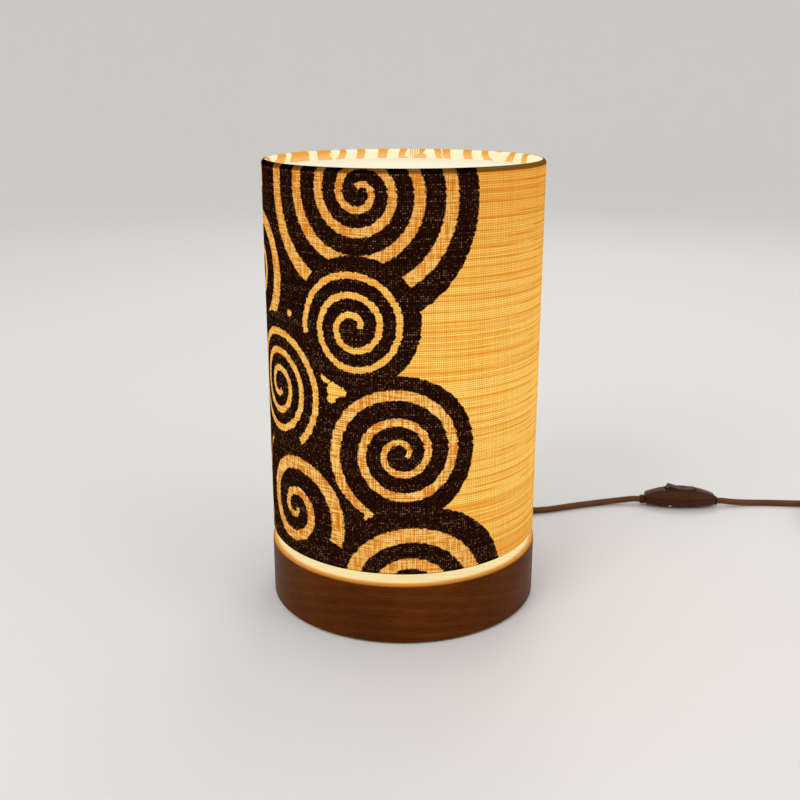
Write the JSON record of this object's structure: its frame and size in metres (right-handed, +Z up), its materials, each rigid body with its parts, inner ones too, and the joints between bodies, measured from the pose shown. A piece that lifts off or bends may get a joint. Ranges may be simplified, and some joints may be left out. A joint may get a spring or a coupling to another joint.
{
  "type": "table lamp",
  "caption": "Table lamp with a printed cloth drum shade over a round turned wooden base, a screw-cap bulb, and a lead with an in-line rocker switch and a round-pin plug.",
  "frame": {"origin": "centre of the lamp's foot, on the surface that it stands on", "axes": "+Z up along the lamp's axis; -Y is the front, the side that faces the viewer; the lead leaves at the back right"},
  "size_m": [0.547, 0.2665, 0.3249],
  "materials": {
    "turned_wood": "dark brown turned wood, satin varnish",
    "cover_board": "dark hardboard",
    "brown_felt": "short brown felt",
    "zinc_steel": "zinc plated",
    "holder_resin": "black moulded resin",
    "white_ceramic": null,
    "brass": "plain brass",
    "live_insulation": "brown wire insulation",
    "neutral_insulation": "blue wire insulation",
    "cord_sheath": "brown flexible sheath, slight sheen",
    "opal_glass": "opal glass, lit from inside",
    "filament_wire": "drawn wire",
    "printed_cloth": "cream plain-woven cloth with a dark brown printed spiral pattern, lit from inside",
    "shade_liner": "white translucent liner",
    "cord_tie": "soft black strap",
    "brown_resin": "brown moulded resin, satin"
  },
  "bodies": {
    "root": {"base_body": "turned_wood", "base_cover": "cover_board", "felt_pad": "brown_felt", "cover_screw_1": "zinc_steel", "cover_screw_2": "zinc_steel", "cover_screw_3": "zinc_steel", "nipple_tube": "zinc_steel", "nipple_washer": "zinc_steel", "nipple_nut": "zinc_steel", "holder_lock_nut": "zinc_steel", "holder_cap": "holder_resin", "holder_body": "holder_resin", "holder_insert": "white_ceramic", "terminal_screw_1": "brass", "terminal_screw_2": "brass", "shell_contact": "brass", "centre_contact": "brass", "wire_live": "live_insulation", "wire_neutral": "neutral_insulation", "lead_in_base": "cord_sheath", "cord_clamp": "brown_resin", "clamp_screw_1": "zinc_steel", "clamp_screw_2": "zinc_steel", "strain_relief": "cord_sheath", "lead_lamp_side": "cord_sheath", "lead_wall_side": "cord_sheath", "lead_coil": "cord_sheath", "lead_plug_side": "cord_sheath", "cord_tie": "cord_tie", "switch_lower_shell": "brown_resin", "switch_upper_shell": "brown_resin", "rocker_pin": "zinc_steel", "contact_left": "brass", "contact_right": "brass", "switch_gland_left": "brown_resin", "switch_gland_right": "brown_resin", "switch_screw_1": "zinc_steel", "switch_screw_2": "zinc_steel", "plug_relief": "cord_sheath", "plug_body": "brown_resin", "plug_pin_1": "zinc_steel", "plug_pin_2": "zinc_steel"},
    "rocker": {"switch_rocker": "brown_resin", "contact_strip": "brass"},
    "bulb": {"bulb_cap": "brass", "bulb_insulator": "holder_resin", "bulb_tip": "zinc_steel", "bulb_glass": "opal_glass", "bulb_stem": "opal_glass", "bulb_filament": "filament_wire"},
    "shade": {"shade_cloth": "printed_cloth", "shade_liner": "shade_liner", "shade_hoop_upper": "zinc_steel", "shade_hoop_lower": "zinc_steel", "spider_arm_1": "zinc_steel", "spider_arm_2": "zinc_steel", "spider_arm_3": "zinc_steel", "spider_collar": "zinc_steel"},
    "ring_nut": {"shade_ring_nut": "holder_resin"}
  },
  "joints": [
    {"name": "rocker_tilt", "type": "hinge", "parent": "root", "child": "rocker", "pos_m": [0.2556, 0.1535, 0.0122], "axis": [-0.0628, -0.998, 0], "range_deg": [0, 14]},
    {"name": "bulb_lift", "type": "slide", "parent": "root", "child": "bulb", "axis": [0, 0, 1], "range_m": [0, 0.26]},
    {"name": "shade_lift", "type": "slide", "parent": "root", "child": "shade", "axis": [0, 0, 1], "range_m": [0, 0.145]},
    {"name": "ring_nut_lift", "type": "slide", "parent": "shade", "child": "ring_nut", "axis": [0, 0, 1], "range_m": [0, 0.245]}
  ]
}
